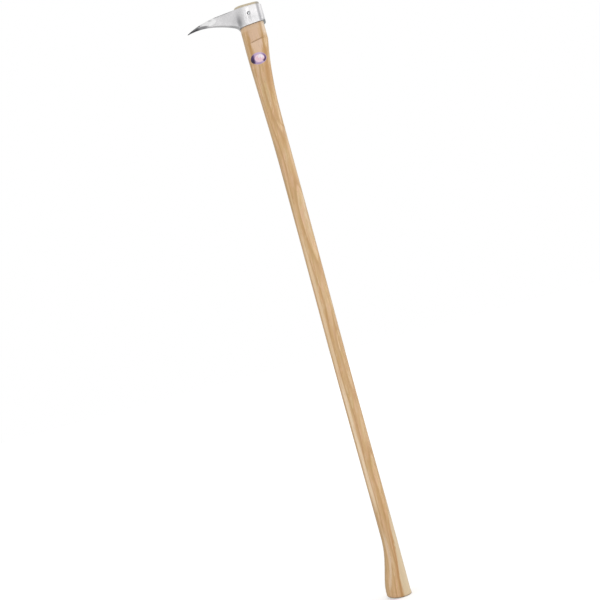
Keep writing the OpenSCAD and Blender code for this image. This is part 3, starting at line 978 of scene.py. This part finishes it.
# %% [markdown]
# At the back of the butt there is a wedge of pale sapwood next to a brown streak of very dense wood. The
# border between them is one drawn line, and the streaks of the grain make it waver. The very edge at
# the back is painted darker all the way up, as painted shade.

# %% Sapwood in the butt
SAP_LINE = [(0, -1), (40, 0.5), (75, 5), (115, 8), (160, 11), (240, 15), (1300, 40)]
WAVER = 2.5 * MM

past_sap = beside(beside(x, drawn(z, SAP_LINE)), spread(streak, WAVER, -WAVER))
dense = times(rise(past_sap, -6.5 * MM, -2.5 * MM), rise(past_sap, 1.5 * MM, -1 * MM, 0.8))
tone = cover(tone, times(rise(z, 0.21, 0.11), dense), "#B6854F")
tone = cover(tone, times(rise(z, 0.3, 0.12), rise(past_sap, -0.5 * MM, 2.5 * MM, 0.85)), "#D9C5A3")
# Painted shade along the very back edge.
tone = cover(tone, rise(flank, 0.78, 0.97, 0.3), "#A98F68")
print("nodes so far:", len(tree.nodes))

# %% [markdown]
# Fine fibres and short dark pores lie over all of it. The tenon that stands out of the head was sawn and
# chamfered and never sanded, so it is pale and dull, greyer at its back, with pores on its top. The end
# of the butt shows the same end grain, and its edge, which faces down, gets painted shade.

# %% Fibres, pores and raw ends
fibre = grain(place, FIBRE, 45 * MM, 3.0, 1.7)
tone = add(tree, "VectorMath", {0: tone, "Scale": spread(fibre, 0.94, 1.075)}, operation="SCALE")
pores = times(rise(grain(place, PORE, 9 * MM, 1.0, 5.2), 0.6, 0.68, 0.5), rise(season, 0.35, 0.1))
tone = cover(tone, pores, "#94693C")
raw = rise(z, ring_top - MM, ring_top + 0.5 * MM, 0.8)
tone = cover(tone, raw, "#CBC2A8")
end_pores = grain(place, PORE, PORE, 1.0, 2.2)
end_tone = cover(linear("#C3A67C"), rise(end_pores, 0.5, 0.64), "#8A6A42")
on_end = rise(away(rim_up, 0), 0.6, 0.9, 0.85)
tone = cover(tone, on_end, end_tone)
# The back end of the tenon's top is greyer.
tone = cover(tone, times(raw, rise(x, 19 * MM, 30 * MM)), "#94918B")
# Painted shade on the edge of the butt's end, which faces down.
tone = cover(tone, times(rise(rim_up, 0, -0.3, 0.8), rise(z, 0.02, 0.01)), "#74532F")
print("nodes of the whole wood:", len(tree.nodes))

# %% [markdown]
# Every material here ends in the same way: one surface node takes the colour and the roughness, and a
# bump node turns a relief into small shadows. The ash has a thin coat of clear lacquer. Its fibres stand
# out a little and its pores lie deeper.

# %% Surface of the wood
def surface(tone, rough, links=(), relief=None, strength=0.3, depth=0.2 * MM):
    """Ends a material: its colour, roughness, other sockets, and a relief whose bumps are depth high."""
    links = {"Base Color": tone, "Roughness": rough, **dict(links)}
    if relief is not None:
        bump = {"Height": relief, "Strength": strength, "Distance": depth}
        links["Normal"] = add(tone.id_data, "Bump", bump)
    skin = add(tone.id_data, "BsdfPrincipled", links)
    add(tone.id_data, "OutputMaterial", {"Surface": skin})


LACQUER = {"IOR": 1.45, "Coat Weight": 0.2, "Coat Roughness": 0.3}
surface(tone, spread(fibre, 0.5, 0.38), LACQUER, beside(fibre, pores), 0.25, 0.3 * MM)
piece(handle, ash, "handle", sharp=40)

# %% [markdown]
# The head is carbon steel. After forging it was blasted and ground to a light satin, so it is pale grey
# and a little uneven. The flat cheek carries a painted highlight of the lamp beside the camera. The
# underside, the rounded top edge and its crest, the turn to the back and the ring's lower back corner carry
# painted shade, in greys darker than the steel's own. A metal's own colour is the light that it gives
# back, so the mottled greys are those of the steel, and its IOR stays as it is.

# %% Steel, forged and ground
rim_back = rim_z(ring_back)

steel, tree, place = new_material("carbon_steel_forged_and_ground")
x, z = split(place, "XZ")
back, up = split(add(tree, "NewGeometry", out="Normal"), "XZ")

links = {"Vector": place, "Scale": 1 / (2.6 * MM), "Detail": 4.0, "Roughness": 0.62}
mottle = add(tree, "TexNoise", links)
tone = add(tree, "ValToRGB", {0: mottle}, stops=[(0.3, "#C4C3C4"), (0.7, "#D3D2D3")])
# Painted highlight: the flat cheek is brighter where it mirrors the lamp beside the camera.
cheek = times(rise(x, -6 * MM, 3 * MM), rise(z, ring_top - 26 * MM, ring_top - 14 * MM, 0.6))
tone = cover(tone, cheek, "#E4E2E3")
# Painted shade on the underside, which faces down.
tone = cover(tone, rise(up, -0.6, -0.92, 0.8), "#9B9B9C")
# Painted shade on the beak's rounded top edge, along this stretch of it.
painted_top_edge_span = times(rise(x, -28 * MM, -38 * MM), rise(x, -72 * MM, -64 * MM))
tone = cover(tone, times(rise(up, 0.15, 0.4), rise(up, 0.97, 0.85), painted_top_edge_span), "#58585A")
# Painted shade in a thin line just under the beak's crest.
past_eye = spread(x, 0, 1, eye_front, tip_x)
drop = add(tree, "Math", {0: past_eye, 1: back_curve}, operation="POWER")
back_z = add(tree, "Math", {0: drop, 1: -tip_drop, 2: ring_top}, operation="MULTIPLY_ADD")
tone = cover(tone, times(rise(beside(z, back_z), -2.4 * MM, -0.8 * MM, 0.6), painted_top_edge_span), "#7E7E80")
# Painted shade on the turn from the cheek to the back of the ring.
turn = times(rise(back, 0.12, 0.4), rise(back, 0.75, 0.45), rise(x, 0, 15 * MM, 0.6))
tone = cover(tone, turn, "#959497")
# Painted shade on the ring's lower back corner.
painted_low_back_shade = times(rise(x, 27 * MM, 33 * MM), rise(z, rim_back + 4 * MM, rim_back + MM, 0.9))
tone = cover(tone, painted_low_back_shade, "#6F7270")
print(f"the back's lower corner is at {1000 * rim_back:.0f} mm")

# %% [markdown]
# The hollow of the neck and the fillet under it are darkened with painted shade: soft oval spots,
# measured in the head's side view, and a darker band on the fillet, which faces down.

# %% Hollow of the neck
def spot(where, centre, half=(1, 1)):
    """Distance of a place from a centre, in units of half sizes. Both are (x, z), seen from the side."""
    graph = where.id_data
    off = add(graph, "VectorMath", {0: where, 1: (centre[0], 0, centre[1])}, operation="SUBTRACT")
    off = add(graph, "VectorMath", {0: off, 1: (1 / half[0], 0, 1 / half[1])}, operation="MULTIPLY")
    return add(graph, "VectorMath", {0: off}, out="Value", operation="LENGTH")


# Painted shade in the hollow of the neck.
wide = spot(place, (-20 * MM, ring_top - 26 * MM), (14 * MM, 25 * MM))
tone = cover(tone, rise(wide, 1.0, 0.1, 0.6), "#858587")
deep = spot(place, (-19 * MM, ring_top - 32 * MM), (7 * MM, 19 * MM))
tone = cover(tone, rise(deep, 1.0, 0.2, 0.6), "#747476")
# Painted shade on the fillet under the neck, which faces down.
fillet = times(rise(up, -0.1, -0.5), rise(x, -46 * MM, -34 * MM), rise(x, -19 * MM, -23 * MM, 0.4))
tone = cover(tone, fillet, "#6C6C6E")
print("nodes so far:", len(tree.nodes))

# %% [markdown]
# The smith ground the point last. A painted highlight lies on the upper half of each side, round at its
# rear end, with a darker spot close to the top edge. Then it burnt the point: mid grey over the last 25 mm
# and nearly black at the tip. On the half that faces down, painted shade takes the grey further back. One
# dark dot sits on the top edge, where the burnt part starts.

# %% Ground point
FLAT_X, DOT_X = -79 * MM, -104.5 * MM
flat_z, dot_z = upper_z(FLAT_X), upper_z(DOT_X)

# Painted highlight on the upper half of the point's side.
bright = spot(place, (FLAT_X - 3 * MM, flat_z - 6 * MM), (16 * MM, 7 * MM))
tone = cover(tone, rise(bright, 1.1, 0.9, 0.75), "#E9E9E9")
dull = spot(place, (FLAT_X, flat_z - 2.5 * MM), (5 * MM, 2.8 * MM))
tone = cover(tone, rise(dull, 1.2, 0.5, 0.6), "#B9B9BA")
reach = beside(times(mottle, 14 * MM), x)
# Painted shade: faces that look down take the burnt greys further back.
painted_shade_facing_down = rise(up, 0.1, -0.3)
for further, start, end, most, grey in (
    (0, 108.5 * MM, 116 * MM, 0.97, "#747476"),
    (25 * MM, 110 * MM, 125 * MM, 0.97, "#7C7C7E"),
    (14 * MM, 122 * MM, 132 * MM, 0.9, "#3A3A3C"),
):
    this_far = add(tree, "Math", {0: painted_shade_facing_down, 1: further, 2: reach}, operation="MULTIPLY_ADD")
    tone = cover(tone, rise(this_far, start, end, most), grey)
dot = spot(place, (DOT_X, dot_z - 1.2 * MM), (2.6 * MM, 1.8 * MM))
tone = cover(tone, rise(dot, 1.1, 0.6, 0.85), "#343436")
print(f"the dot is {1000 * (DOT_X - tip_x):.0f} mm behind the tip")

# %% [markdown]
# The grinding wheel ran along the beak, so its scratches are long in X and fine across. They make the
# gloss uneven, and together with the forge's mottle they give the surface its relief.

# %% Scratches and relief
SCRATCHES = (60, 900, 900)

scratch = add(tree, "VectorMath", {0: place, 1: SCRATCHES}, operation="MULTIPLY")
scratch = add(tree, "TexNoise", {"Vector": scratch, "Scale": 1.0, "Detail": 2.0})
relief = add(tree, "Math", {0: mottle, 1: scratch}, operation="ADD")
surface(tone, spread(scratch, 0.34, 0.48), {"Metallic": 1.0}, relief, depth=0.25 * MM)
piece(head, steel, "head")

# %% [markdown]
# The wooden wedge is beech, sawn, and shows its end grain on top. Its small dark flecks are the rays.

# %% Beech, sawn
FLECKS = (2200, 900, 60)

beech, tree, place = new_material("beech_sawn_end_grain")
speck = add(tree, "VectorMath", {0: place, 1: FLECKS}, operation="MULTIPLY")
speck = add(tree, "TexNoise", {"Vector": speck, "Scale": 1.0, "Detail": 3.0})
fleck = add(tree, "ValToRGB", {0: speck}, stops=[(0.35, "#A9794F"), (0.62, "#D8B48C")])
surface(fleck, 0.7, relief=speck)
piece(wooden, beech, "wooden_wedge")

# %% [markdown]
# The steel wedges are cut from rolled bar. They keep the dark skin of the rolling mill, and the hammer
# has left bright dents where it drove them in.

# %% Mill scale, hammered
scale_skin, tree, place = new_material("rolled_steel_with_mill_scale")
dent = add(tree, "TexNoise", {"Vector": place, "Scale": 1 / (1.8 * MM), "Detail": 3.0})
skin = add(tree, "ValToRGB", {0: dent}, stops=[(0.42, "#4C4E52"), (0.62, "#8F9194")])
surface(skin, spread(dent, 0.6, 0.3, 0.35, 0.65), {"Metallic": 1.0}, dent, 0.5, 0.4 * MM)
for node, made in steels.items():
    piece(made, scale_skin, node)

# %% [markdown]
# The screw is zinc-plated steel, dull after handling. Painted shade darkens its slot and the rim of its
# head, deep in the sunk hole, and is darkest on the side towards the beak.

# %% Zinc plate, dull
zinc, tree, place = new_material("zinc_plated_screw")
x, y = split(place, "XY")
bloom = add(tree, "TexNoise", {"Vector": place, "Scale": 1 / (1.2 * MM), "Detail": 2.0})
plate = add(tree, "ValToRGB", {0: bloom}, stops=[(0.35, "#C4C6C8"), (0.65, "#E2E3E4")])
# Painted shade on what lies deeper in the sunk hole.
plate = cover(plate, rise(y, -ring_half + 0.55 * MM, -ring_half + 1.0 * MM), "#55575A")
# Painted shade on the side towards the beak, under the hole's front edge.
plate = cover(plate, rise(x, eye_setback - 1.2 * MM, eye_setback - 2.2 * MM, 0.9), "#2E2F31")
surface(plate, 0.4, {"Metallic": 1.0})
piece(screw, zinc, "fixing_screw")

# %% [markdown]
# The label is printed film with a satin face. It is a plain oval: a pale field, pinker away from one
# side and with a soft blot, in a violet border. The border is widest and darkest at its left end, dark
# again at its right end and lower right corner, and lilac below and along the cut edge. Nothing is
# written on it. We draw it in units of the oval's half sizes.

# %% Film, printed and satin
film, tree, place = new_material("polyester_film_printed")
unit = add(tree, "VectorMath", {0: place, 1: (label_x, 0, label_z)}, operation="SUBTRACT")
unit = add(tree, "VectorMath", {0: unit, 1: (2 / label_w, 0, 2 / label_h)}, operation="MULTIPLY")
right, up = split(unit, "XZ")
violet = add(tree, "ValToRGB", {0: spread(right, 0, 1, -1, 1)}, stops=[
    (0.0, "#38244E"), (0.2, "#533B69"), (0.31, "#C3A9CA"), (0.7, "#D2BBDA"), (0.85, "#9676A0"),
    (1.0, "#664574"),
])
for start, end, most in ((-0.5, -0.75, 0.9), (0.45, 0.7, 0.6)):
    violet = cover(violet, times(rise(right, start, end, most), rise(up, 0.35, -0.25)), "#241332")
violet = cover(violet, rise(up, -0.55, -0.85, 0.7), "#A182AD")
aside = spot(unit, (0.12, 0), (0.926, 1))
cloud = add(tree, "TexNoise", {"Vector": place, "Scale": 1 / (3 * MM), "Detail": 2.0})
pinkness = add(tree, "Math", {0: cloud, 1: spot(unit, (0.35, 0.35))}, operation="ADD")
field = add(tree, "ValToRGB", {0: pinkness}, stops=[(0.7, "#F7F1F8"), (1.3, "#F0D0DC")])
field = cover(field, times(rise(cloud, 0.5, 0.6, 0.6), rise(aside, 0.6, 0.35)), "#F2AFBC")
ink = cover(field, rise(aside, 0.6, 0.7), violet)
ink = cover(ink, rise(spot(unit, (0.66, -0.48)), 0.32, 0.12, 0.75), "#431F4C")
cut_edge = times(rise(spot(unit, (0, 0)), 0.92, 0.96, 0.7), rise(right, -0.8, -0.5))
ink = cover(ink, cut_edge, "#CDBBDD")
surface(ink, 0.4, {"Specular IOR Level": 0.3})
piece(label, film, "label")

# %% [markdown]
# Standard view keeps every colour as it was written. At the end we print the size of the dressed tool's
# box.

# %% Finish
bpy.context.scene.view_settings.view_transform = "Standard"
low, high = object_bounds()
print("dressed box in mm:", [round(1000 * (b - a), 1) for a, b in zip(low, high)])
